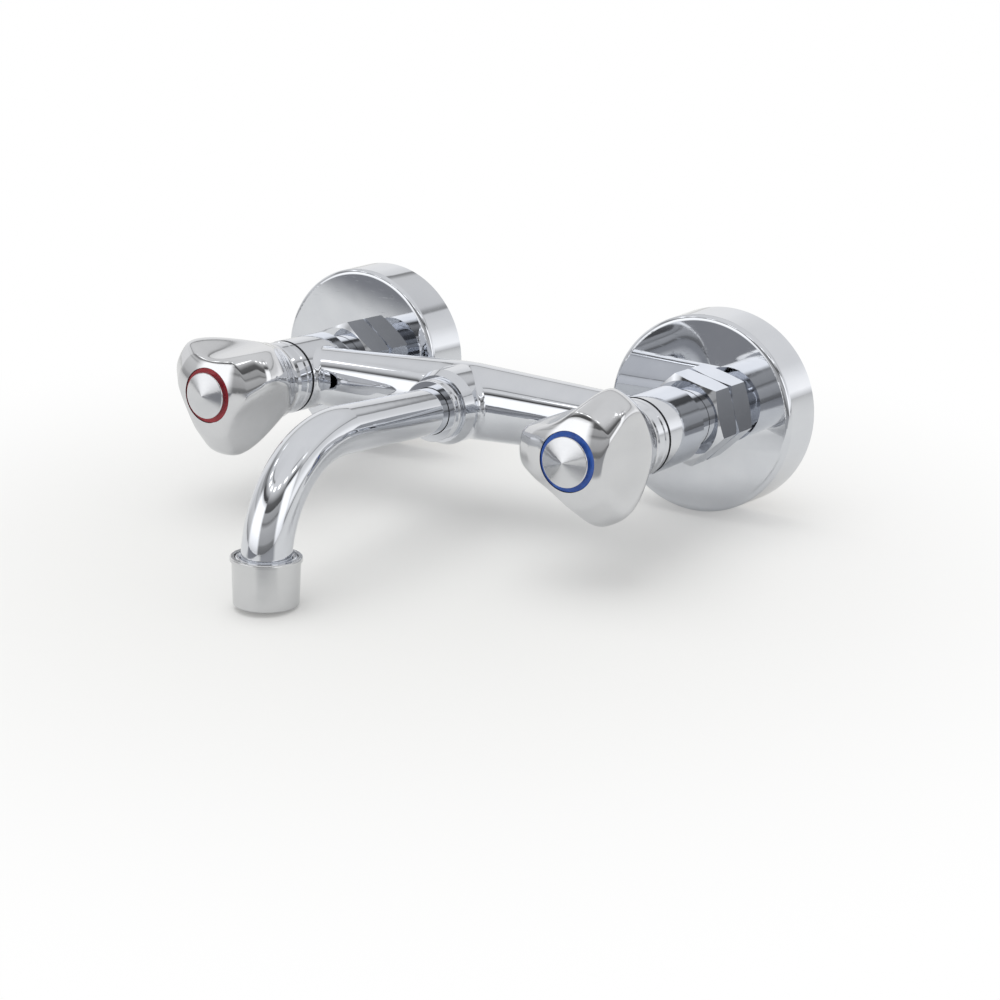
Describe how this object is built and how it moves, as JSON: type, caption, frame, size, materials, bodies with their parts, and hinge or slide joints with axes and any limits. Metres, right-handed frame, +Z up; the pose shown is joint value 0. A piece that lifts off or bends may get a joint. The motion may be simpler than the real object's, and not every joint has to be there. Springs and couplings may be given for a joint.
{
  "type": "ablution mixer tap",
  "caption": "Wall-mounted ablution mixer tap with lobed turn handles, a waisted bar body, deep round wall flanges and a fixed spout bent down to an aerator.",
  "frame": {"origin": "in the wall plane, midway between the two valves and at their height", "axes": "+X from the hot valve to the cold one, +Y into the wall, +Z up; the spout reaches out along -Y"},
  "size_m": [0.2224, 0.1935, 0.0842],
  "materials": {
    "chrome": "polished chrome plate on brass",
    "brass": "machined, unplated",
    "steel": "bright stainless spring wire and screws",
    "rubber": "moulded",
    "red_plastic": "moulded, glossy",
    "blue_plastic": "moulded, glossy",
    "white_plastic": "moulded"
  },
  "bodies": {
    "tap_body": {"mixer_body": "chrome", "spout_tube": "chrome", "spout_seal": "rubber", "spout_collar": "chrome", "aerator_housing": "chrome", "aerator_seal": "rubber", "aerator_insert": "white_plastic", "hot_wall_flange": "chrome", "hot_s_union": "brass", "hot_union_nut": "chrome", "hot_union_washer": "rubber", "hot_nut_ring": "steel", "hot_bonnet_seal": "rubber", "hot_bonnet": "chrome", "cold_wall_flange": "chrome", "cold_s_union": "brass", "cold_union_nut": "chrome", "cold_union_washer": "rubber", "cold_nut_ring": "steel", "cold_bonnet_seal": "rubber", "cold_bonnet": "chrome"},
    "hot_handle_set": {"hot_spindle": "brass", "hot_spindle_seals": "rubber", "hot_circlip": "steel", "hot_handle": "chrome", "hot_handle_screw": "steel", "hot_index_ring": "red_plastic", "hot_cap": "chrome"},
    "hot_jumper_set": {"hot_jumper": "brass", "hot_jumper_rubber": "rubber", "hot_jumper_nut": "brass"},
    "cold_handle_set": {"cold_spindle": "brass", "cold_spindle_seals": "rubber", "cold_circlip": "steel", "cold_handle": "chrome", "cold_handle_screw": "steel", "cold_index_ring": "blue_plastic", "cold_cap": "chrome"},
    "cold_jumper_set": {"cold_jumper": "brass", "cold_jumper_rubber": "rubber", "cold_jumper_nut": "brass"}
  },
  "joints": [
    {"name": "hot_handle_turn", "type": "hinge", "parent": "tap_body", "child": "hot_handle_set", "pos_m": [-0.075, -0.0535, 0], "axis": [0, -1, 0], "range_deg": [0, 540]},
    {"name": "hot_jumper_slide", "type": "slide", "parent": "tap_body", "child": "hot_jumper_set", "axis": [0, -1, 0], "range_m": [0, 0.003]},
    {"name": "cold_handle_turn", "type": "hinge", "parent": "tap_body", "child": "cold_handle_set", "pos_m": [0.075, -0.0535, 0], "axis": [0, -1, 0], "range_deg": [0, 540]},
    {"name": "cold_jumper_slide", "type": "slide", "parent": "tap_body", "child": "cold_jumper_set", "axis": [0, -1, 0], "range_m": [0, 0.003]}
  ],
  "couplings": [
    {"joint": "hot_jumper_slide", "follows": "hot_handle_turn", "m_per_rad": 0.000318},
    {"joint": "cold_jumper_slide", "follows": "cold_handle_turn", "m_per_rad": 0.000318}
  ]
}
